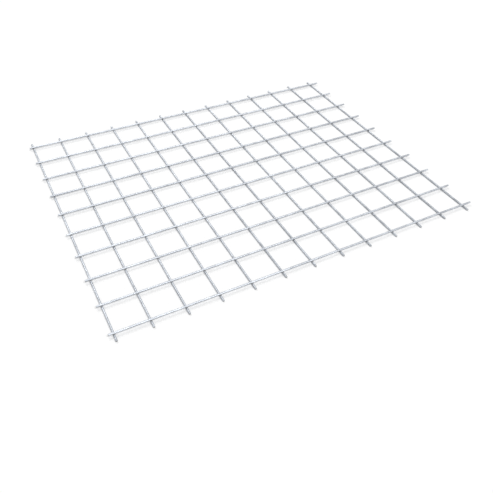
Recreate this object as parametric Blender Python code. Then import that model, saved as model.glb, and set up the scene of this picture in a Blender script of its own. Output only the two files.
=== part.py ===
"""A flat panel of welded square wire mesh, lying on its cross wires.

The panel is one piece of stock: ten long wires lie across thirteen cross wires,
and every crossing is resistance welded, so the wires are sunk into each other there.
Units are metres and +Z is up. X runs along the long wires and Y along the cross wires.
The origin is under the middle of the panel, on the surface that it rests on.
"""

import math

import bmesh
import bpy

MM = 0.001

# The grid: how many wires lie each way, and their spacing from centre to centre
LONG_WIRE_COUNT = 10
CROSS_WIRE_COUNT = 13
PITCH_X = 50.0 * MM
PITCH_Y = 50.0 * MM

# The drawn wire that each direction is made from
LONG_WIRE_DIAMETER = 3.0 * MM
CROSS_WIRE_DIAMETER = 3.0 * MM

# How far a long wire is sunk into a cross wire by the weld
SET_DOWN = 0.5 * MM

# Wire left standing past the last weld on each side, where the panel was sheared off
OVERHANG_LEFT = 8.0 * MM
OVERHANG_RIGHT = 16.5 * MM
OVERHANG_FRONT = 12.5 * MM
OVERHANG_BACK = 16.0 * MM

# Each wire is a regular prism of this many sides, resting on one of them
WIRE_SIDE_COUNT = 8
HALF_SIDE_ANGLE = math.pi / WIRE_SIDE_COUNT

# Corners sharper than this stay sharp when the wires are shaded smooth
SHARP_ANGLE = math.radians(50.0)
WELD_DISTANCE = 0.01 * MM

ZINC_COLOUR = (0.46, 0.48, 0.50, 1.0)
ZINC_ROUGHNESS = 0.38
ZINC_METALLIC = 0.9


def clear_scene():
    """Remove whatever the file holds before the panel is made."""
    for obj in list(bpy.data.objects):
        bpy.data.objects.remove(obj, do_unlink=True)


def make_collection(name):
    """Add a collection to the scene and return it."""
    collection = bpy.data.collections.new(name)
    bpy.context.scene.collection.children.link(collection)
    return collection


def make_zinc():
    """Bright zinc-coated steel wire."""
    material = bpy.data.materials.new("zinc_coated_steel")
    material.use_nodes = True
    shader = material.node_tree.nodes["Principled BSDF"]
    shader.inputs["Base Color"].default_value = ZINC_COLOUR
    shader.inputs["Roughness"].default_value = ZINC_ROUGHNESS
    shader.inputs["Metallic"].default_value = ZINC_METALLIC
    return material


def grid_lines(count, pitch, overhang_low, overhang_high):
    """Wire centres along one direction, with the whole panel centred on zero."""
    reach = (count - 1) * pitch
    first = (overhang_low - overhang_high - reach) / 2
    return [first + index * pitch for index in range(count)]


def make_wire_curve(name, runs, diameter):
    """One curve that holds a straight wire for each start and end point in runs."""
    curve = bpy.data.curves.new(name, "CURVE")
    curve.dimensions = "3D"
    # A round bevel has four sides and two more for each step of its resolution
    curve.bevel_resolution = WIRE_SIDE_COUNT // 2 - 2
    # The sides, not the corners, stand at the real radius of the wire
    curve.bevel_depth = diameter / 2 / math.cos(HALF_SIDE_ANGLE)
    curve.use_fill_caps = True
    for run in runs:
        spline = curve.splines.new("POLY")
        spline.points.add(len(run) - 1)
        for point, place in zip(spline.points, run):
            point.co = (*place, 1.0)
            # Half a side's turn puts one side of the prism flat underneath
            point.tilt = HALF_SIDE_ANGLE
    return bpy.data.objects.new(name, curve)


def make_mesh_from(curve_object, name, collection):
    """Turn a wire curve into a closed mesh object and remove the curve."""
    bpy.context.scene.collection.objects.link(curve_object)
    depsgraph = bpy.context.evaluated_depsgraph_get()
    evaluated = curve_object.evaluated_get(depsgraph)
    mesh = bpy.data.meshes.new_from_object(evaluated, depsgraph=depsgraph)
    mesh.name = name
    weld_caps(mesh)
    mesh.shade_smooth()
    mesh.set_sharp_from_angle(angle=SHARP_ANGLE)
    wires = bpy.data.objects.new(name, mesh)
    wires.matrix_world = curve_object.matrix_world
    collection.objects.link(wires)
    bpy.data.objects.remove(curve_object, do_unlink=True)
    return wires


def weld_caps(mesh):
    """Join the loose end caps of a curve's mesh to its sides."""
    work = bmesh.new()
    work.from_mesh(mesh)
    bmesh.ops.remove_doubles(work, verts=work.verts, dist=WELD_DISTANCE)
    bmesh.ops.recalc_face_normals(work, faces=work.faces)
    work.to_mesh(mesh)
    work.free()


def make_cross_wires(columns, rows, collection):
    """The lower wires, along Y, which carry the panel on their undersides."""
    height = CROSS_WIRE_DIAMETER / 2
    front = rows[0] - OVERHANG_FRONT
    back = rows[-1] + OVERHANG_BACK
    runs = [((x, front, height), (x, back, height)) for x in columns]
    curve = make_wire_curve("cross_wires", runs, CROSS_WIRE_DIAMETER)
    return make_mesh_from(curve, "cross_wires", collection)


def make_long_wires(columns, rows, collection):
    """The upper wires, along X, sunk into the cross wires by the set-down."""
    height = CROSS_WIRE_DIAMETER - SET_DOWN + LONG_WIRE_DIAMETER / 2
    left = columns[0] - OVERHANG_LEFT
    right = columns[-1] + OVERHANG_RIGHT
    runs = [((left, y, height), (right, y, height)) for y in rows]
    curve = make_wire_curve("long_wires", runs, LONG_WIRE_DIAMETER)
    return make_mesh_from(curve, "wire_mesh_panel", collection)


def weld_wires(panel, cross_wires):
    """Fuse the two layers of wire where they cross."""
    cross_wires.hide_render = True
    cross_wires.display_type = "WIRE"
    weld = panel.modifiers.new("crossing_welds", "BOOLEAN")
    weld.operation = "UNION"
    weld.solver = "EXACT"
    weld.object = cross_wires


def build_panel():
    """Make the whole panel as one object."""
    clear_scene()
    parts = make_collection("welded_wire_mesh_panel")
    cutters = make_collection("cutters")
    columns = grid_lines(CROSS_WIRE_COUNT, PITCH_X, OVERHANG_LEFT, OVERHANG_RIGHT)
    rows = grid_lines(LONG_WIRE_COUNT, PITCH_Y, OVERHANG_FRONT, OVERHANG_BACK)
    cross_wires = make_cross_wires(columns, rows, cutters)
    panel = make_long_wires(columns, rows, parts)
    zinc = make_zinc()
    panel.data.materials.append(zinc)
    cross_wires.data.materials.append(zinc)
    weld_wires(panel, cross_wires)


build_panel()
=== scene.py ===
"""Looks of a flat panel of welded square wire mesh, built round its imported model.

The panel is one piece of stock: long wires lie across cross wires, and every crossing is
resistance welded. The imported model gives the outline. This script draws the round wires with
their sheared ends, the beads that the welds squeeze out and the zinc on all of it, and shows
the panel on a pale floor under soft light. Units are metres and +Z is up.
"""

import logging
import math
from dataclasses import dataclass
from enum import Enum
from typing import Iterable, Mapping, Optional, Union

import bpy
from mathutils import Euler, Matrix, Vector


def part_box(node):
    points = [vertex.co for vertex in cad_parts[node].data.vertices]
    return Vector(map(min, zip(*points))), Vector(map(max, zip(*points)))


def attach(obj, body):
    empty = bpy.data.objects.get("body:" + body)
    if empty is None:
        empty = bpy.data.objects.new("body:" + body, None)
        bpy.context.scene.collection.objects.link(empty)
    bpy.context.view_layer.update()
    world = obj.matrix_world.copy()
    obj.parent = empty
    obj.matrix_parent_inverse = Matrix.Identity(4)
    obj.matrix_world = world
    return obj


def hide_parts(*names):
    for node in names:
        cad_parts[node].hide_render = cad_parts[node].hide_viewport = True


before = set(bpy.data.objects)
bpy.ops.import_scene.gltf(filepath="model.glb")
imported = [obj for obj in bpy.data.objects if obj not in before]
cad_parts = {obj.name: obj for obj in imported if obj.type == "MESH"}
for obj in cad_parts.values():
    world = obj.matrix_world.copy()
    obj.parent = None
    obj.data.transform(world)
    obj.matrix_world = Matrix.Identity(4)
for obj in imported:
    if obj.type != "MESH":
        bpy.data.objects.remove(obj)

LOG = logging.getLogger("wire_mesh_panel")
MM = 0.001
CAD_NODE = "wire_mesh_panel"
BODY = "root"

HEAT_ATTRIBUTE = "weld_heat"
CUT_ATTRIBUTE = "cut_face"
CUT_HEIGHT_ATTRIBUTE = "cut_height"
NUMBER_ATTRIBUTE = "wire_number"
TONE_ATTRIBUTE = "wire_tone"

Colour = tuple[float, float, float, float]
Socket = bpy.types.NodeSocket
Node = bpy.types.Node


class Value:
    """A socket of a node tree that is written like a number, so a formula reads as one."""

    def __init__(self, maker: "TreeMaker", socket: Socket) -> None:
        """Wrap one output socket.

        Args:
            maker: the maker of the tree that the socket is in.
            socket: the output socket.
        """
        self.maker = maker
        self.socket = socket

    def __add__(self, other: "Number") -> "Value":
        """This value plus the other."""
        return self.maker.math("ADD", self, other)

    def __radd__(self, other: "Number") -> "Value":
        """The other value plus this one."""
        return self.maker.math("ADD", other, self)

    def __sub__(self, other: "Number") -> "Value":
        """This value less the other."""
        return self.maker.math("SUBTRACT", self, other)

    def __rsub__(self, other: "Number") -> "Value":
        """The other value less this one."""
        return self.maker.math("SUBTRACT", other, self)

    def __mul__(self, other: "Number") -> "Value":
        """This value times the other."""
        return self.maker.math("MULTIPLY", self, other)

    def __truediv__(self, other: "Number") -> "Value":
        """This value divided by the other."""
        return self.maker.math("DIVIDE", self, other)

    def __abs__(self) -> "Value":
        """This value without its sign."""
        return self.maker.math("ABSOLUTE", self)


Number = Union[Value, float, int]


class TreeMaker:
    """Adds nodes to one node tree, of geometry or of a shader, and links them."""

    def __init__(self, tree: bpy.types.NodeTree) -> None:
        """Keep the tree.

        Args:
            tree: the tree to add nodes to.
        """
        self.tree = tree

    def node(self, kind: str, feeds: Optional[Mapping] = None, **settings: object) -> Node:
        """Add one node.

        Args:
            kind: the node's type.
            feeds: what each input takes, by the input's name or number.
            **settings: the node's own properties.

        Returns:
            The new node.
        """
        made = self.tree.nodes.new(kind)
        for name, value in settings.items():
            setattr(made, name, value)
        for key, value in (feeds or {}).items():
            self.feed(self.pick(made.inputs, key), value)
        return made

    def pick(self, sockets: Iterable, key: Union[str, int]) -> Socket:
        """Find a socket by its number, or by its name among those in use.

        Args:
            sockets: a node's inputs or outputs.
            key: the number or the name.

        Returns:
            The socket.
        """
        if isinstance(key, int):
            return sockets[key]
        return next(socket for socket in sockets if socket.name == key and socket.enabled)

    def feed(self, socket: Socket, value: object) -> None:
        """Link a value to an input, or set the input where the value is a constant.

        Args:
            socket: the input.
            value: a Value or a constant.
        """
        if isinstance(value, Value):
            self.tree.links.new(value.socket, socket)
        else:
            socket.default_value = value

    def out(self, node: Node, key: Union[str, int] = 0) -> Value:
        """One output of a node as a Value.

        Args:
            node: the node.
            key: the output's name or number.

        Returns:
            The output.
        """
        return Value(self, self.pick(node.outputs, key))

    def get(self, kind: str, feeds: Optional[Mapping] = None, key: Union[str, int] = 0,
            **settings: object) -> Value:
        """Add one node and return one of its outputs.

        Args:
            kind: the node's type.
            feeds: what each input takes.
            key: the output's name or number.
            **settings: the node's own properties.

        Returns:
            The output.
        """
        return self.out(self.node(kind, feeds, **settings), key)

    def math(self, operation: str, *values: Number) -> Value:
        """Add a Math node.

        Args:
            operation: what it does.
            *values: up to three values to do it on.

        Returns:
            The result.
        """
        return self.get("ShaderNodeMath", dict(enumerate(values)), operation=operation)

    def ramp(self, value: Number, start: Number, end: Number, low: Number = 0.0,
             high: Number = 1.0) -> Value:
        """Turn a value from start to end into a smooth step from low to high.

        Args:
            value: the value that is read.
            start: where the step starts.
            end: where the step ends.
            low: the result up to start.
            high: the result from end on.

        Returns:
            The stepped value.
        """
        feeds = {"Value": value, "From Min": start, "From Max": end, "To Min": low, "To Max": high}
        return self.get("ShaderNodeMapRange", feeds, "Result", interpolation_type="SMOOTHSTEP")

    def combine(self, x: Number, y: Number, z: Number) -> Value:
        """Three numbers as one vector.

        Args:
            x: the first number.
            y: the second number.
            z: the third number.

        Returns:
            The vector.
        """
        return self.get("ShaderNodeCombineXYZ", {"X": x, "Y": y, "Z": z})

    def split(self, vector: Value) -> tuple[Value, Value, Value]:
        """A vector as its three numbers.

        Args:
            vector: the vector.

        Returns:
            Its x, y and z.
        """
        parts = self.node("ShaderNodeSeparateXYZ", {0: vector})
        return self.out(parts, "X"), self.out(parts, "Y"), self.out(parts, "Z")

    def vector_math(self, operation: str, *values: object, **feeds: object) -> Value:
        """Add a Vector Math node.

        Args:
            operation: what it does.
            *values: the values to do it on.
            **feeds: what further inputs take, by name.

        Returns:
            The result.
        """
        return self.get("ShaderNodeVectorMath", {**dict(enumerate(values)), **feeds},
                        operation=operation)

    def noise(self, vector: Value, scale: Number, detail: float = 2.0, roughness: float = 0.5,
              key: str = "Fac") -> Value:
        """Add a noise texture in three dimensions.

        Args:
            vector: where it is read.
            scale: how fine it is.
            detail: how many finer layers lie over it.
            roughness: how strong those layers are.
            key: the output, Fac for one number or Color for three.

        Returns:
            The output.
        """
        feeds = {"Vector": vector, "Scale": scale, "Detail": detail, "Roughness": roughness}
        return self.get("ShaderNodeTexNoise", feeds, key)


class Lay(Enum):
    """The two directions that the panel's wires lie in."""

    LONG = "long_wires"
    CROSS = "cross_wires"


@dataclass(frozen=True)
class Stock:
    """What the mesh is ordered by, and what the shear leaves past the outer welds."""

    pitch: float = 50.0 * MM
    wire_diameter: float = 3.0 * MM
    cross_wires: int = 13
    long_wires: int = 10
    overhang_left: float = 8.0 * MM
    overhang_front: float = 12.5 * MM


@dataclass(frozen=True)
class WireLayer:
    """One direction's wires, as lengths along a wire and across the wires."""

    lay: Lay
    count: int
    start: float
    end: float
    first_crossing: float
    first_wire: float
    pitch: float
    height: float
    radius: float

    @property
    def turn(self) -> float:
        """How far a wire that lies along X turns about Z to lie its own way."""
        return 0.0 if self.lay is Lay.LONG else math.pi / 2

    @property
    def outer_side(self) -> float:
        """The side that faces away from the other layer: 1 above, -1 below."""
        return 1.0 if self.lay is Lay.LONG else -1.0


class PanelGrid:
    """Where the wires and crossings are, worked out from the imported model's box."""

    def __init__(self, stock: Stock, low: Vector, high: Vector) -> None:
        """Place the grid in the box.

        Args:
            stock: the mesh's ordered sizes.
            low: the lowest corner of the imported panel.
            high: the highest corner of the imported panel.
        """
        self.stock = stock
        self.low = low
        self.high = high
        self.first_column = low.x + stock.overhang_left
        self.first_row = low.y + stock.overhang_front

    @property
    def set_down(self) -> float:
        """How far the welds sink the two layers into each other."""
        return 2 * self.stock.wire_diameter - (self.high.z - self.low.z)

    @property
    def contact_height(self) -> float:
        """The height of the middle of the welds."""
        return self.low.z + self.stock.wire_diameter - self.set_down / 2

    def layer(self, lay: Lay) -> WireLayer:
        """One direction's wires.

        Args:
            lay: the direction.

        Returns:
            The layer's sizes.
        """
        stock = self.stock
        radius = stock.wire_diameter / 2
        if lay is Lay.LONG:
            return WireLayer(lay, stock.long_wires, self.low.x, self.high.x, self.first_column,
                             self.first_row, stock.pitch, self.high.z - radius, radius)
        return WireLayer(lay, stock.cross_wires, self.low.y, self.high.y, self.first_row,
                         self.first_column, stock.pitch, self.low.z + radius, radius)


@dataclass(frozen=True)
class Drift:
    """How far the wires stray from a true grid, together, as a rolled-flat panel does."""

    amount: float = 0.8 * MM
    scale: float = 4.0

    def apply(self, maker: TreeMaker, geometry: Value) -> Value:
        """Shift geometry within the panel's plane by one slow noise that every piece shares.

        Args:
            maker: the maker of the geometry tree.
            geometry: the geometry to shift.

        Returns:
            The shifted geometry.
        """
        place = maker.get("GeometryNodeInputPosition")
        flat = maker.vector_math("MULTIPLY", place, (1.0, 1.0, 0.0))
        stray = maker.noise(flat, self.scale, detail=1.0, key="Color")
        centred = maker.vector_math("SUBTRACT", stray, (0.5, 0.5, 0.5))
        offset = maker.vector_math("MULTIPLY", centred, (self.amount, self.amount, 0.0))
        return maker.get("GeometryNodeSetPosition", {"Geometry": geometry, "Offset": offset})


def new_geometry_tree(name: str, inputs: Mapping[str, str]) -> tuple[TreeMaker, dict[str, Value]]:
    """Start a Geometry Nodes tree with named inputs and one geometry output.

    Args:
        name: the tree's name.
        inputs: each input's socket type, by name.

    Returns:
        The maker of the tree, and each input as a Value, by name.
    """
    tree = bpy.data.node_groups.new(name, "GeometryNodeTree")
    tree.interface.new_socket(name="Geometry", in_out="OUTPUT", socket_type="NodeSocketGeometry")
    for label, kind in inputs.items():
        tree.interface.new_socket(name=label, in_out="INPUT", socket_type=kind)
    maker = TreeMaker(tree)
    entry = maker.node("NodeGroupInput")
    return maker, {label: maker.out(entry, label) for label in inputs}


def close_geometry_tree(maker: TreeMaker, geometry: Value) -> None:
    """Link the finished geometry to the tree's output.

    Args:
        maker: the maker of the tree.
        geometry: the finished geometry.
    """
    maker.node("NodeGroupOutput", {"Geometry": geometry})


def grow(name: str, tree: bpy.types.NodeTree, values: Mapping[str, object]) -> bpy.types.Object:
    """Run a geometry tree once and keep what it makes as a plain mesh object.

    Args:
        name: the object's name.
        tree: the Geometry Nodes tree.
        values: what each named input is set to.

    Returns:
        The object, at the origin, with no modifier.
    """
    seed = bpy.data.objects.new(f"{name}_seed", bpy.data.meshes.new(f"{name}_seed"))
    bpy.context.scene.collection.objects.link(seed)
    modifier = seed.modifiers.new(name, "NODES")
    modifier.node_group = tree
    for item in tree.interface.items_tree:
        if item.in_out == "INPUT":
            modifier[item.identifier] = values[item.name]
    depsgraph = bpy.context.evaluated_depsgraph_get()
    mesh = bpy.data.meshes.new_from_object(seed.evaluated_get(depsgraph), depsgraph=depsgraph)
    mesh.name = name
    seed.modifiers.remove(modifier)
    bpy.data.objects.remove(seed, do_unlink=True)
    grown = bpy.data.objects.new(name, mesh)
    bpy.context.scene.collection.objects.link(grown)
    return grown


@dataclass(frozen=True)
class ShearStep:
    """One ring of a sheared wire end, past the ring before it."""

    length: float
    width: float
    depth: float
    drop: float


@dataclass(frozen=True)
class WireShape:
    """The fine form of a wire: its facets, its weld marks and its sheared ends."""

    sides: int = 16
    rings_per_pitch: int = 14
    crowding: float = 0.82
    weld_reach: float = 3.4 * MM
    electrode_flat: float = 0.22 * MM
    upset: float = 0.07
    heat_reach: float = 5.0 * MM
    heat_fade_start: float = -0.6
    outer_heat: float = 0.3
    cap_facing: float = 0.9
    trim: float = 1.2 * MM
    trim_zone: float = 2.0 * MM
    trim_seeds: tuple[int, int] = (1, 2)
    tone_seed: int = 3
    box_margin: float = 0.5 * MM
    shear: tuple[ShearStep, ...] = (
        ShearStep(0.30 * MM, 1.0, 0.985, -0.01 * MM),
        ShearStep(0.25 * MM, 1.005, 0.95, -0.04 * MM),
        ShearStep(0.18 * MM, 1.005, 0.91, -0.07 * MM),
        ShearStep(0.12 * MM, 0.985, 0.87, -0.08 * MM),
        ShearStep(0.06 * MM, 0.96, 0.82, -0.09 * MM),
    )

    @property
    def shear_length(self) -> float:
        """How much of the wire's length the sheared end takes."""
        return sum(step.length for step in self.shear)


class DrawnWires:
    """One layer of round drawn wires, with their weld marks and sheared ends."""

    INPUTS = {
        "Wires": "NodeSocketInt",
        "Rings": "NodeSocketInt",
        "Sides": "NodeSocketInt",
        "Start": "NodeSocketFloat",
        "Length": "NodeSocketFloat",
        "Radius": "NodeSocketFloat",
        "Pitch": "NodeSocketFloat",
        "First crossing": "NodeSocketFloat",
        "First place": "NodeSocketVector",
        "Step": "NodeSocketVector",
        "Turn": "NodeSocketFloat",
        "Outer side": "NodeSocketFloat",
        "Zinc": "NodeSocketMaterial",
        "Sheared steel": "NodeSocketMaterial",
    }

    def __init__(self, layer: WireLayer, shape: WireShape, drift: Drift) -> None:
        """Keep the sizes.

        Args:
            layer: where the wires lie.
            shape: the wires' fine form.
            drift: how the panel strays from a true grid.
        """
        self.layer = layer
        self.shape = shape
        self.drift = drift

    def build(self, zinc: bpy.types.Material, sheared: bpy.types.Material) -> bpy.types.Object:
        """Make the layer's mesh.

        Args:
            zinc: the material of the wires' sides.
            sheared: the material of the cut faces.

        Returns:
            The layer's object.
        """
        layer, shape = self.layer, self.shape
        maker, given = new_geometry_tree(f"{layer.lay.value}_tree", self.INPUTS)
        wire, caps = self.add_wire(maker, given)
        wire = self.add_ends(maker, given, wire, caps)
        wire = self.add_weld_marks(maker, given, wire)
        wires = self.add_layer(maker, given, wire)
        close_geometry_tree(maker, self.finish(maker, given, wires))
        length = layer.end - layer.start - 2 * (shape.box_margin + shape.shear_length)
        across = Vector((0.0, layer.pitch, 0.0))
        first = Vector((0.0, layer.first_wire, layer.height))
        if layer.lay is Lay.CROSS:
            across = Vector((layer.pitch, 0.0, 0.0))
            first = Vector((layer.first_wire, 0.0, layer.height))
        values = {
            "Wires": layer.count,
            "Rings": round(shape.rings_per_pitch * length / layer.pitch),
            "Sides": shape.sides,
            "Start": layer.start + shape.box_margin + shape.shear_length,
            "Length": length,
            "Radius": layer.radius,
            "Pitch": layer.pitch,
            "First crossing": layer.first_crossing,
            "First place": first,
            "Step": across,
            "Turn": layer.turn,
            "Outer side": layer.outer_side,
            "Zinc": zinc,
            "Sheared steel": sheared,
        }
        return grow(layer.lay.value, maker.tree, values)

    def add_wire(self, maker: TreeMaker, given: Mapping[str, Value]) -> tuple[Value, Value]:
        """Add one wire along X, its rings crowded towards the crossings.

        Args:
            maker: the maker of the tree.
            given: the tree's inputs.

        Returns:
            The wire's mesh, and the selection of its two end faces.
        """
        start, length, pitch = given["Start"], given["Length"], given["Pitch"]
        index = maker.get("GeometryNodeInputIndex")
        along = start + index / (given["Rings"] - 1) * length
        phase = (along - given["First crossing"]) / pitch * math.tau
        crowded = along - maker.math("SINE", phase) * pitch * (self.shape.crowding / math.tau)
        kept = maker.math("MINIMUM", maker.math("MAXIMUM", crowded, start), start + length)
        is_last = maker.math("COMPARE", index, given["Rings"] - 1, 0.5)
        is_first = maker.math("COMPARE", index, 0.0, 0.5)
        kept = kept + is_last * (start + length - kept)
        kept = kept + is_first * (start - kept)
        line = maker.get("GeometryNodeMeshLine", {"Count": given["Rings"]}, mode="OFFSET")
        placed = maker.get("GeometryNodeSetPosition",
                           {"Geometry": line, "Position": maker.combine(kept, 0.0, 0.0)})
        curve = maker.get("GeometryNodeMeshToCurve", {"Mesh": placed})
        circle = maker.get("GeometryNodeCurvePrimitiveCircle",
                           {"Resolution": given["Sides"], "Radius": given["Radius"]})
        tube = maker.get("GeometryNodeCurveToMesh",
                         {"Curve": curve, "Profile Curve": circle, "Fill Caps": True})
        lengthwise = maker.split(maker.get("GeometryNodeInputNormal"))[0]
        return tube, maker.math("GREATER_THAN", abs(lengthwise), self.shape.cap_facing)

    def add_ends(self, maker: TreeMaker, given: Mapping[str, Value], wire: Value,
                 caps: Value) -> Value:
        """Draw the wire's ends out into the pinched shape that a shear leaves.

        Args:
            maker: the maker of the tree.
            given: the tree's inputs.
            wire: the wire's mesh.
            caps: the selection of its end faces.

        Returns:
            The wire with its ends, the end faces marked, and the height on them kept.
        """
        for step in self.shape.shear:
            feeds = {"Mesh": wire, "Selection": caps, "Offset Scale": step.length,
                     "Individual": False}
            drawn = maker.node("GeometryNodeExtrudeMesh", feeds, mode="FACES")
            wire, caps = maker.out(drawn, "Mesh"), maker.out(drawn, "Top")
            x, y, z = maker.split(maker.get("GeometryNodeInputPosition"))
            pinched = maker.combine(x, y * step.width, z * step.depth + step.drop)
            wire = maker.get("GeometryNodeSetPosition",
                             {"Geometry": wire, "Selection": caps, "Position": pinched})
        wire = self.store(maker, wire, CUT_ATTRIBUTE, caps, "BOOLEAN", "FACE")
        height = maker.split(maker.get("GeometryNodeInputPosition"))[2] / given["Radius"]
        return self.store(maker, wire, CUT_HEIGHT_ATTRIBUTE, height, "FLOAT", "POINT")

    def add_weld_marks(self, maker: TreeMaker, given: Mapping[str, Value], wire: Value) -> Value:
        """Flatten the wire under the electrode, swell it beside the weld and mark the heat.

        Args:
            maker: the maker of the tree.
            given: the tree's inputs.
            wire: the wire's mesh.

        Returns:
            The marked wire.
        """
        shape, side, radius = self.shape, given["Outer side"], given["Radius"]
        x, y, z = maker.split(maker.get("GeometryNodeInputPosition"))
        half = given["Pitch"] / 2
        offset = maker.math("WRAP", x - given["First crossing"], half, half * -1.0)
        distance = abs(offset)
        near = maker.ramp(distance, 0.0, shape.weld_reach, 1.0, 0.0)
        flat = maker.math("MINIMUM", z * side, radius - near * shape.electrode_flat) * side
        swollen = maker.combine(x, y * (near * shape.upset + 1.0), flat)
        wire = maker.get("GeometryNodeSetPosition", {"Geometry": wire, "Position": swollen})
        fade_start = radius * shape.heat_fade_start
        facing = maker.ramp(z * side, fade_start, radius, 1.0, shape.outer_heat)
        heat = maker.ramp(distance, 0.0, shape.heat_reach, 1.0, 0.0) * facing
        return self.store(maker, wire, HEAT_ATTRIBUTE, heat, "FLOAT", "POINT")

    def add_layer(self, maker: TreeMaker, given: Mapping[str, Value], wire: Value) -> Value:
        """Lay the wire out as the whole layer and shorten each wire's ends a little.

        Args:
            maker: the maker of the tree.
            given: the tree's inputs.
            wire: one finished wire.

        Returns:
            The layer's mesh.
        """
        feeds = {"Count": given["Wires"], "Start Location": given["First place"],
                 "Offset": given["Step"]}
        places = maker.get("GeometryNodeMeshLine", feeds, mode="OFFSET")
        turn = maker.combine(0.0, 0.0, given["Turn"])
        feeds = {"Points": places, "Instance": wire, "Rotation": turn}
        laid = maker.get("GeometryNodeInstanceOnPoints", feeds)
        index = maker.get("GeometryNodeInputIndex")
        laid = self.store(maker, laid, NUMBER_ATTRIBUTE, index, "INT", "INSTANCE")
        feeds = {"Min": 0.0, "Max": 1.0, "Seed": self.shape.tone_seed}
        tone = maker.get("FunctionNodeRandomValue", feeds, "Value", data_type="FLOAT")
        laid = self.store(maker, laid, TONE_ATTRIBUTE, tone, "FLOAT", "INSTANCE")
        wires = maker.get("GeometryNodeRealizeInstances", {"Geometry": laid})
        return self.drift.apply(maker, self.trim_ends(maker, given, wires))

    def trim_ends(self, maker: TreeMaker, given: Mapping[str, Value], wires: Value) -> Value:
        """Draw each wire's ends back by its own small amount, as an uneven shear line does.

        Args:
            maker: the maker of the tree.
            given: the tree's inputs.
            wires: the layer's mesh.

        Returns:
            The trimmed layer.
        """
        number = maker.get("GeometryNodeInputNamedAttribute", {"Name": NUMBER_ATTRIBUTE},
                           "Attribute", data_type="INT")
        x, y, _ = maker.split(maker.get("GeometryNodeInputPosition"))
        is_long = self.layer.lay is Lay.LONG
        along = x if is_long else y
        shift: Number = 0.0
        middle = given["Start"] + given["Length"] / 2
        reach = given["Length"] / 2 - self.shape.trim_zone
        for seed, sign in zip(self.shape.trim_seeds, (-1.0, 1.0)):
            feeds = {"Min": 0.0, "Max": self.shape.trim, "ID": number, "Seed": seed}
            amount = maker.get("FunctionNodeRandomValue", feeds, "Value", data_type="FLOAT")
            at_end = maker.math("GREATER_THAN", (along - middle) * sign, reach)
            shift = shift + at_end * amount * (sign * -1.0)
        offset = maker.combine(shift, 0.0, 0.0) if is_long else maker.combine(0.0, shift, 0.0)
        return maker.get("GeometryNodeSetPosition", {"Geometry": wires, "Offset": offset})

    def finish(self, maker: TreeMaker, given: Mapping[str, Value], wires: Value) -> Value:
        """Smooth the round sides and give the sides and the cut faces their materials.

        Args:
            maker: the maker of the tree.
            given: the tree's inputs.
            wires: the layer's mesh.

        Returns:
            The finished layer.
        """
        cut = maker.get("GeometryNodeInputNamedAttribute", {"Name": CUT_ATTRIBUTE}, "Attribute",
                        data_type="BOOLEAN")
        smooth = maker.get("GeometryNodeSetShadeSmooth", {"Geometry": wires, "Shade Smooth": True})
        smooth = maker.get("GeometryNodeSetShadeSmooth",
                           {"Geometry": smooth, "Selection": cut, "Shade Smooth": False})
        wires = maker.get("GeometryNodeSetMaterial",
                          {"Geometry": smooth, "Material": given["Zinc"]})
        return maker.get("GeometryNodeSetMaterial",
                         {"Geometry": wires, "Selection": cut, "Material": given["Sheared steel"]})

    def store(self, maker: TreeMaker, geometry: Value, name: str, value: Value, kind: str,
              domain: str) -> Value:
        """Keep a value on the geometry under a name.

        Args:
            maker: the maker of the tree.
            geometry: what carries the value.
            name: the attribute's name.
            value: the value.
            kind: its data type.
            domain: what it is kept on.

        Returns:
            The geometry that carries the value.
        """
        feeds = {"Geometry": geometry, "Name": name, "Value": value}
        return maker.get("GeometryNodeStoreNamedAttribute", feeds, data_type=kind, domain=domain)


@dataclass(frozen=True)
class BeadShape:
    """The bead of metal that a weld squeezes out between two crossing wires."""

    segments: int = 10
    rings: int = 5
    smallest: tuple[float, float, float] = (1.70 * MM, 1.70 * MM, 0.45 * MM)
    largest: tuple[float, float, float] = (2.15 * MM, 2.15 * MM, 0.68 * MM)
    most_turn: float = 0.5
    lump: float = 0.35 * MM
    lump_scale: float = 700.0
    seed: int = 7


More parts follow.
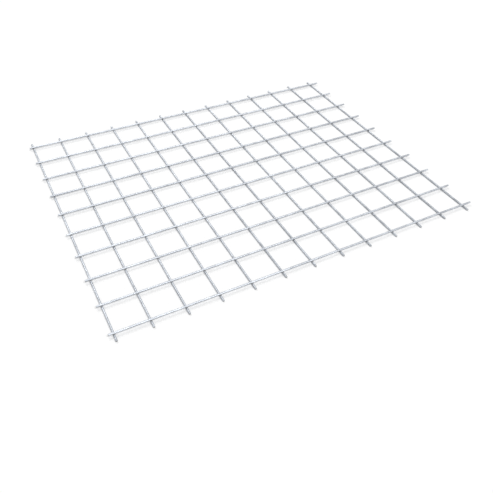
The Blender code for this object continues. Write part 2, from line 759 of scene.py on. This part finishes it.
class WeldBeads:
    """The beads at all the crossings, as one mesh."""

    INPUTS = {
        "Columns": "NodeSocketInt",
        "Rows": "NodeSocketInt",
        "Width": "NodeSocketFloat",
        "Depth": "NodeSocketFloat",
        "Middle": "NodeSocketVector",
        "Smallest": "NodeSocketVector",
        "Largest": "NodeSocketVector",
        "Weld metal": "NodeSocketMaterial",
    }

    def __init__(self, grid: PanelGrid, shape: BeadShape, drift: Drift) -> None:
        """Keep the sizes.

        Args:
            grid: where the crossings are.
            shape: one bead's form.
            drift: how the panel strays from a true grid.
        """
        self.grid = grid
        self.shape = shape
        self.drift = drift

    def build(self, metal: bpy.types.Material) -> bpy.types.Object:
        """Make the beads' mesh.

        Args:
            metal: the beads' material.

        Returns:
            The beads' object.
        """
        grid, stock = self.grid, self.grid.stock
        maker, given = new_geometry_tree("weld_beads_tree", self.INPUTS)
        close_geometry_tree(maker, self.add_beads(maker, given))
        width = stock.pitch * (stock.cross_wires - 1)
        depth = stock.pitch * (stock.long_wires - 1)
        middle = Vector((grid.first_column + width / 2, grid.first_row + depth / 2,
                         grid.contact_height))
        values = {
            "Columns": stock.cross_wires,
            "Rows": stock.long_wires,
            "Width": width,
            "Depth": depth,
            "Middle": middle,
            "Smallest": Vector(self.shape.smallest),
            "Largest": Vector(self.shape.largest),
            "Weld metal": metal,
        }
        return grow("weld_beads", maker.tree, values)

    def add_beads(self, maker: TreeMaker, given: Mapping[str, Value]) -> Value:
        """Put one lumpy bead of its own size and turn at every crossing.

        Args:
            maker: the maker of the tree.
            given: the tree's inputs.

        Returns:
            The finished beads.
        """
        shape = self.shape
        feeds = {"Size X": given["Width"], "Size Y": given["Depth"],
                 "Vertices X": given["Columns"], "Vertices Y": given["Rows"]}
        crossings = maker.get("GeometryNodeMeshGrid", feeds, "Mesh")
        crossings = maker.get("GeometryNodeTransform",
                              {"Geometry": crossings, "Translation": given["Middle"]})
        ball = maker.get("GeometryNodeMeshUVSphere",
                         {"Segments": shape.segments, "Rings": shape.rings, "Radius": 1.0}, "Mesh")
        size = maker.get("FunctionNodeRandomValue",
                         {"Min": given["Smallest"], "Max": given["Largest"], "Seed": shape.seed},
                         "Value", data_type="FLOAT_VECTOR")
        turn = maker.get("FunctionNodeRandomValue",
                         {"Min": -shape.most_turn, "Max": shape.most_turn, "Seed": shape.seed + 1},
                         "Value", data_type="FLOAT")
        feeds = {"Points": crossings, "Instance": ball, "Scale": size,
                 "Rotation": maker.combine(0.0, 0.0, turn)}
        beads = maker.get("GeometryNodeInstanceOnPoints", feeds)
        beads = maker.get("GeometryNodeRealizeInstances", {"Geometry": beads})
        place = maker.get("GeometryNodeInputPosition")
        lump = (maker.noise(place, shape.lump_scale, detail=1.0) - 0.5) * shape.lump
        outwards = maker.get("GeometryNodeInputNormal")
        offset = maker.vector_math("SCALE", outwards, Scale=lump)
        beads = maker.get("GeometryNodeSetPosition", {"Geometry": beads, "Offset": offset})
        beads = self.drift.apply(maker, beads)
        beads = maker.get("GeometryNodeSetShadeSmooth", {"Geometry": beads, "Shade Smooth": True})
        return maker.get("GeometryNodeSetMaterial",
                         {"Geometry": beads, "Material": given["Weld metal"]})


def new_shader_group(name: str, inputs: Mapping[str, str],
                     outputs: Mapping[str, str]) -> tuple[TreeMaker, dict[str, Value], Node]:
    """Start a shader node group with named inputs and outputs.

    Args:
        name: the group's name.
        inputs: each input's socket type, by name.
        outputs: each output's socket type, by name.

    Returns:
        The maker of the group, its inputs by name, and its output node.
    """
    group = bpy.data.node_groups.new(name, "ShaderNodeTree")
    for label, kind in inputs.items():
        group.interface.new_socket(name=label, in_out="INPUT", socket_type=kind)
    for label, kind in outputs.items():
        group.interface.new_socket(name=label, in_out="OUTPUT", socket_type=kind)
    maker = TreeMaker(group)
    entry = maker.node("NodeGroupInput")
    return maker, {label: maker.out(entry, label) for label in inputs}, maker.node("NodeGroupOutput")


class SurfaceGroups:
    """The shader groups that more than one finish uses, each built once."""

    LINE_STRETCH = (0.012, 1.0, 1.0)
    COARSE_FINENESS = 0.35
    COARSE_SHARE = 0.4
    LINE_EDGES = (0.36, 0.64)
    PATCH_EDGES = (0.34, 0.66)
    SPOT_EDGES = (0.52, 0.80)

    def __init__(self) -> None:
        """Build the groups."""
        self.die_lines = self.make_die_lines()
        self.zinc_bloom = self.make_zinc_bloom()

    def make_die_lines(self) -> bpy.types.NodeTree:
        """The fine lines that a drawing die leaves along a wire.

        Returns:
            A group that turns a vector whose X runs along the wire into a mask of lines.
        """
        maker, given, exit_node = new_shader_group(
            "die_lines",
            {"Vector": "NodeSocketVector", "Fineness": "NodeSocketFloat"},
            {"Lines": "NodeSocketFloat"})
        stretched = maker.vector_math("MULTIPLY", given["Vector"], self.LINE_STRETCH)
        fine = maker.noise(stretched, given["Fineness"], detail=3.0, roughness=0.6)
        coarse = maker.noise(stretched, given["Fineness"] * self.COARSE_FINENESS, detail=1.0)
        mixed = fine * (1.0 - self.COARSE_SHARE) + coarse * self.COARSE_SHARE
        maker.feed(exit_node.inputs["Lines"], maker.ramp(mixed, *self.LINE_EDGES))
        return maker.tree

    def make_zinc_bloom(self) -> bpy.types.NodeTree:
        """The cloudy patches and small spots of a thin zinc coat.

        Returns:
            A group with a slow mask of patches and a quick mask of spots.
        """
        maker, given, exit_node = new_shader_group(
            "zinc_bloom",
            {"Vector": "NodeSocketVector", "Patch scale": "NodeSocketFloat",
             "Spot scale": "NodeSocketFloat"},
            {"Patches": "NodeSocketFloat", "Spots": "NodeSocketFloat"})
        slow = maker.noise(given["Vector"], given["Patch scale"], detail=3.0, roughness=0.6)
        quick = maker.noise(given["Vector"], given["Spot scale"], detail=2.0)
        maker.feed(exit_node.inputs["Patches"], maker.ramp(slow, *self.PATCH_EDGES))
        maker.feed(exit_node.inputs["Spots"], maker.ramp(quick, *self.SPOT_EDGES))
        return maker.tree


class MaterialSketch(TreeMaker):
    """A new material, its Principled shader and the nodes in front of it."""

    def __init__(self, name: str) -> None:
        """Start the material.

        Args:
            name: the material's name.
        """
        self.material = bpy.data.materials.new(name)
        self.material.use_nodes = True
        super().__init__(self.material.node_tree)
        self.shader = self.tree.nodes["Principled BSDF"]

    def object_place(self, turn: float = 0.0) -> Value:
        """Object coordinates, turned about Z.

        Args:
            turn: the turn, in radians.

        Returns:
            The turned coordinates.
        """
        place = self.get("ShaderNodeTexCoord", key="Object")
        feeds = {"Vector": place, "Rotation": (0.0, 0.0, turn)}
        return self.get("ShaderNodeMapping", feeds)

    def group(self, tree: bpy.types.NodeTree, feeds: Mapping[str, object]) -> Node:
        """Place a shared group in the material.

        Args:
            tree: the group.
            feeds: what each input takes.

        Returns:
            The group's node.
        """
        made = self.tree.nodes.new("ShaderNodeGroup")
        made.node_tree = tree
        for name, value in feeds.items():
            self.feed(made.inputs[name], value)
        return made

    def mix(self, share: Number, first: object, second: object) -> Value:
        """Mix two colours.

        Args:
            share: how much of the second shows, from 0 to 1.
            first: the first colour.
            second: the second colour.

        Returns:
            The mixed colour.
        """
        node = self.node("ShaderNodeMix", data_type="RGBA")
        self.feed(node.inputs[0], share)
        self.feed(node.inputs[6], first)
        self.feed(node.inputs[7], second)
        return self.out(node, 2)

    def emboss(self, height: Value, distance: float, strength: float) -> None:
        """Bump the surface by a height that runs from 0 to 1.

        Args:
            height: the height.
            distance: how high a height of 1 is.
            strength: how much of the bump shows.
        """
        feeds = {"Height": height, "Distance": distance, "Strength": strength}
        self.feed(self.shader.inputs["Normal"], self.get("ShaderNodeBump", feeds))


@dataclass(frozen=True)
class ZincWireFinish:
    """Bright drawn wire under a thin zinc coat."""

    lay: Lay
    light: Colour = (0.585, 0.615, 0.66, 1.0)
    dark: Colour = (0.35, 0.37, 0.405, 1.0)
    line: Colour = (0.235, 0.25, 0.275, 1.0)
    spot: Colour = (0.70, 0.72, 0.755, 1.0)
    heat: Colour = (0.17, 0.16, 0.15, 1.0)
    tone_share: float = 0.3
    line_share: float = 0.35
    spot_share: float = 0.40
    scorch_share: float = 0.5
    metallic: float = 0.88
    roughness: float = 0.30
    line_fineness: float = 5200.0
    patch_scale: float = 70.0
    spot_scale: float = 900.0
    scorch_scale: float = 420.0
    scorch_edges: tuple[float, float] = (0.35, 1.1)
    relief: float = 0.03 * MM
    relief_strength: float = 0.7

    def make(self, groups: SurfaceGroups) -> bpy.types.Material:
        """Make the material.

        Args:
            groups: the shared shader groups.

        Returns:
            The material.
        """
        sketch = MaterialSketch(f"zinc_{self.lay.value}")
        turn = 0.0 if self.lay is Lay.LONG else -math.pi / 2
        along = sketch.object_place(turn)
        lines = sketch.out(sketch.group(groups.die_lines, {"Vector": along,
                                                           "Fineness": self.line_fineness}))
        bloom = sketch.group(groups.zinc_bloom, {"Vector": along, "Patch scale": self.patch_scale,
                                                 "Spot scale": self.spot_scale})
        patches, spots = sketch.out(bloom, "Patches"), sketch.out(bloom, "Spots")
        heat = sketch.get("ShaderNodeAttribute", key="Fac", attribute_name=HEAT_ATTRIBUTE)
        tone = sketch.get("ShaderNodeAttribute", key="Fac", attribute_name=TONE_ATTRIBUTE)
        paleness = patches * (1.0 - self.tone_share) + tone * self.tone_share
        colour = sketch.mix(paleness, self.dark, self.light)
        colour = sketch.mix(lines * self.line_share, colour, self.line)
        colour = sketch.mix(spots * self.spot_share, colour, self.spot)
        cloudy = sketch.noise(along, self.scorch_scale, detail=2.0)
        scorch = sketch.ramp(heat * (cloudy + 0.5), *self.scorch_edges)
        colour = sketch.mix(scorch * self.scorch_share, colour, self.heat)
        shader = sketch.shader
        sketch.feed(shader.inputs["Base Color"], colour)
        roughness = self.roughness + patches * 0.10 + spots * 0.14 + lines * 0.08 + scorch * 0.12
        sketch.feed(shader.inputs["Roughness"], roughness)
        shader.inputs["Metallic"].default_value = self.metallic
        height = lines * -0.5 + spots * 0.5 + patches * 0.3
        sketch.emboss(height, self.relief, self.relief_strength)
        return sketch.material


@dataclass(frozen=True)
class WeldMetalFinish:
    """The dull, slightly scorched metal that a weld squeezes out."""

    pale: Colour = (0.50, 0.505, 0.51, 1.0)
    dark: Colour = (0.20, 0.19, 0.18, 1.0)
    metallic: float = 0.8
    roughness: float = 0.42
    patch_scale: float = 380.0
    spot_scale: float = 1500.0
    relief: float = 0.12 * MM
    relief_strength: float = 0.8

    def make(self, groups: SurfaceGroups) -> bpy.types.Material:
        """Make the material.

        Args:
            groups: the shared shader groups.

        Returns:
            The material.
        """
        sketch = MaterialSketch("weld_metal")
        place = sketch.object_place()
        bloom = sketch.group(groups.zinc_bloom, {"Vector": place, "Patch scale": self.patch_scale,
                                                 "Spot scale": self.spot_scale})
        patches, spots = sketch.out(bloom, "Patches"), sketch.out(bloom, "Spots")
        colour = sketch.mix(patches, self.dark, self.pale)
        shader = sketch.shader
        sketch.feed(shader.inputs["Base Color"], sketch.mix(spots * 0.4, colour, self.pale))
        sketch.feed(shader.inputs["Roughness"], self.roughness + patches * 0.18)
        shader.inputs["Metallic"].default_value = self.metallic
        height = patches + spots * 0.4
        sketch.emboss(height, self.relief, self.relief_strength)
        return sketch.material


@dataclass(frozen=True)
class ShearedSteelFinish:
    """The bare face where the shear cut a wire: burnished above and torn below."""

    burnished: Colour = (0.47, 0.47, 0.48, 1.0)
    torn: Colour = (0.27, 0.262, 0.255, 1.0)
    metallic: float = 0.9
    roughness: float = 0.58
    patch_scale: float = 1400.0
    spot_scale: float = 3600.0
    streak_fineness: float = 4200.0
    streak_stretch: tuple[float, float, float] = (1.0, 1.0, 0.08)
    streak_share: float = 0.25
    edge_waviness: float = 0.25
    burnish_edges: tuple[float, float] = (-0.22, -0.02)
    relief: float = 0.09 * MM
    relief_strength: float = 0.8

    def make(self, groups: SurfaceGroups) -> bpy.types.Material:
        """Make the material.

        Args:
            groups: the shared shader groups.

        Returns:
            The material.
        """
        sketch = MaterialSketch("sheared_steel")
        place = sketch.object_place()
        bloom = sketch.group(groups.zinc_bloom, {"Vector": place, "Patch scale": self.patch_scale,
                                                 "Spot scale": self.spot_scale})
        patches, spots = sketch.out(bloom, "Patches"), sketch.out(bloom, "Spots")
        upright = sketch.vector_math("MULTIPLY", place, self.streak_stretch)
        streaks = sketch.noise(upright, self.streak_fineness, detail=2.0)
        height = sketch.get("ShaderNodeAttribute", key="Fac",
                            attribute_name=CUT_HEIGHT_ATTRIBUTE)
        edge = height + (patches - 0.5) * self.edge_waviness
        burnish = sketch.ramp(edge, *self.burnish_edges)
        streaked = (1.0 - self.streak_share) + streaks * self.streak_share
        colour = sketch.mix(burnish * streaked, self.torn, self.burnished)
        shader = sketch.shader
        sketch.feed(shader.inputs["Base Color"], colour)
        sketch.feed(shader.inputs["Roughness"], self.roughness - burnish * 0.26 + patches * 0.06)
        shader.inputs["Metallic"].default_value = self.metallic
        torn = (patches * 0.6 + spots * 0.4) * (1.0 - burnish)
        raised = torn + streaks * burnish * self.streak_share
        sketch.emboss(raised, self.relief, self.relief_strength)
        return sketch.material


@dataclass(frozen=True)
class PhotoCamera:
    """The camera of the reference view, as its angles round the panel."""

    aim: tuple[float, float, float] = (-108.9 * MM, -142.4 * MM, 0.0)
    distance: float = 771.9 * MM
    azimuth: float = 28.68
    elevation: float = 44.63
    roll: float = 2.60
    focal_length: float = 37.74
    sensor_width: float = 36.0
    shift_x: float = 0.0501
    nearest: float = 10 * MM
    farthest: float = 100.0

    def build(self) -> bpy.types.Object:
        """Make the camera and make it the scene's own.

        Returns:
            The camera.
        """
        lens = bpy.data.cameras.new("photo_camera")
        lens.sensor_width = self.sensor_width
        lens.lens = self.focal_length
        lens.shift_x = self.shift_x
        lens.clip_start = self.nearest
        lens.clip_end = self.farthest
        camera = bpy.data.objects.new("photo_camera", lens)
        azimuth, elevation = math.radians(self.azimuth), math.radians(self.elevation)
        view = Vector((math.sin(azimuth) * math.cos(elevation),
                       math.cos(azimuth) * math.cos(elevation), -math.sin(elevation)))
        camera.location = Vector(self.aim) - view * self.distance
        upright = view.to_track_quat("-Z", "Y")
        rolled = Euler((0.0, 0.0, math.radians(self.roll))).to_quaternion()
        camera.rotation_euler = (upright @ rolled).to_euler()
        bpy.context.scene.collection.objects.link(camera)
        bpy.context.scene.camera = camera
        return camera


@dataclass(frozen=True)
class SoftLamp:
    """A wide far lamp, so that the light is soft and the same all over the floor."""

    name: str
    towards: tuple[float, float, float]
    width: float
    strength: float

    def build(self) -> bpy.types.Object:
        """Make the lamp.

        Returns:
            The lamp.
        """
        light = bpy.data.lights.new(self.name, "SUN")
        light.angle = math.radians(self.width)
        light.energy = self.strength
        lamp = bpy.data.objects.new(self.name, light)
        lamp.rotation_euler = Vector(self.towards).to_track_quat("Z", "Y").to_euler()
        bpy.context.scene.collection.objects.link(lamp)
        return lamp


@dataclass(frozen=True)
class Studio:
    """A pale floor under soft light, with a white surround."""

    floor_size: float = 30.0
    floor_drop: float = 0.02 * MM
    floor_colour: Colour = (0.90, 0.90, 0.90, 1.0)
    floor_roughness: float = 0.9
    floor_shine: float = 0.1
    floor_lift: float = 0.095
    surround: float = 0.50
    lamps: tuple[SoftLamp, ...] = (
        SoftLamp("main_lamp", (0.30, -0.50, 1.0), 34.0, 1.35),
        SoftLamp("back_lamp", (0.0, 1.0, 1.0), 27.0, 0.70),
    )

    def build(self) -> None:
        """Make the floor, the lamps and the surround, and set the view transform."""
        self.build_floor()
        for lamp in self.lamps:
            lamp.build()
        self.build_world()
        bpy.context.scene.view_settings.view_transform = "Standard"

    def build_floor(self) -> None:
        """Make the floor, which shows white where nothing shades it."""
        mesh = bpy.data.meshes.new("floor")
        half = self.floor_size / 2
        corners = [(-half, -half, 0.0), (half, -half, 0.0), (half, half, 0.0), (-half, half, 0.0)]
        mesh.from_pydata(corners, [], [(0, 1, 2, 3)])
        floor = bpy.data.objects.new("floor", mesh)
        floor.location.z = -self.floor_drop
        bpy.context.scene.collection.objects.link(floor)
        sketch = MaterialSketch("pale_floor")
        shader = sketch.shader
        shader.inputs["Base Color"].default_value = self.floor_colour
        shader.inputs["Roughness"].default_value = self.floor_roughness
        shader.inputs["Specular IOR Level"].default_value = self.floor_shine
        shader.inputs["Emission Color"].default_value = (1.0, 1.0, 1.0, 1.0)
        sketch.feed(shader.inputs["Emission Strength"], self.seen(sketch) * self.floor_lift)
        mesh.materials.append(sketch.material)

    def build_world(self) -> None:
        """Make an even surround that shows white to the camera and in the metal."""
        world = bpy.data.worlds.new("surround")
        world.use_nodes = True
        maker = TreeMaker(world.node_tree)
        background = world.node_tree.nodes["Background"]
        strength = self.seen(maker) * (1.0 - self.surround) + self.surround
        maker.feed(background.inputs["Strength"], strength)
        background.inputs["Color"].default_value = (1.0, 1.0, 1.0, 1.0)
        bpy.context.scene.world = world

    def seen(self, maker: TreeMaker) -> Value:
        """One where a ray comes from the camera or a reflection, and zero elsewhere.

        Args:
            maker: the maker of the shader tree.

        Returns:
            The mask.
        """
        path = maker.node("ShaderNodeLightPath")
        return maker.math("MAXIMUM", maker.out(path, "Is Camera Ray"),
                          maker.out(path, "Is Glossy Ray"))


class MeshPanel:
    """The welded panel: its two layers of wire and the beads of its welds."""

    def __init__(self, grid: PanelGrid) -> None:
        """Keep the grid and choose the shapes.

        Args:
            grid: where the wires and crossings are.
        """
        self.grid = grid
        self.drift = Drift()
        self.wire_shape = WireShape()
        self.bead_shape = BeadShape()

    def build(self) -> list[bpy.types.Object]:
        """Make every piece and attach it to the panel's body.

        Returns:
            The pieces.
        """
        groups = SurfaceGroups()
        sheared = ShearedSteelFinish().make(groups)
        pieces = []
        for lay in Lay:
            zinc = ZincWireFinish(lay).make(groups)
            wires = DrawnWires(self.grid.layer(lay), self.wire_shape, self.drift)
            pieces.append(wires.build(zinc, sheared))
        beads = WeldBeads(self.grid, self.bead_shape, self.drift)
        pieces.append(beads.build(WeldMetalFinish().make(groups)))
        for piece in pieces:
            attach(piece, BODY)
            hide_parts(CAD_NODE)
            LOG.info("%s: %d faces", piece.name, len(piece.data.polygons))
        return pieces


def main() -> None:
    """Build the panel, the studio and the camera, in that order."""
    logging.basicConfig(level=logging.INFO, format="%(name)s: %(message)s")
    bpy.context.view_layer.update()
    low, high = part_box(CAD_NODE)
    grid = PanelGrid(Stock(), Vector(low), Vector(high))
    MeshPanel(grid).build()
    Studio().build()
    PhotoCamera().build()


if __name__ == "__main__":
    main()
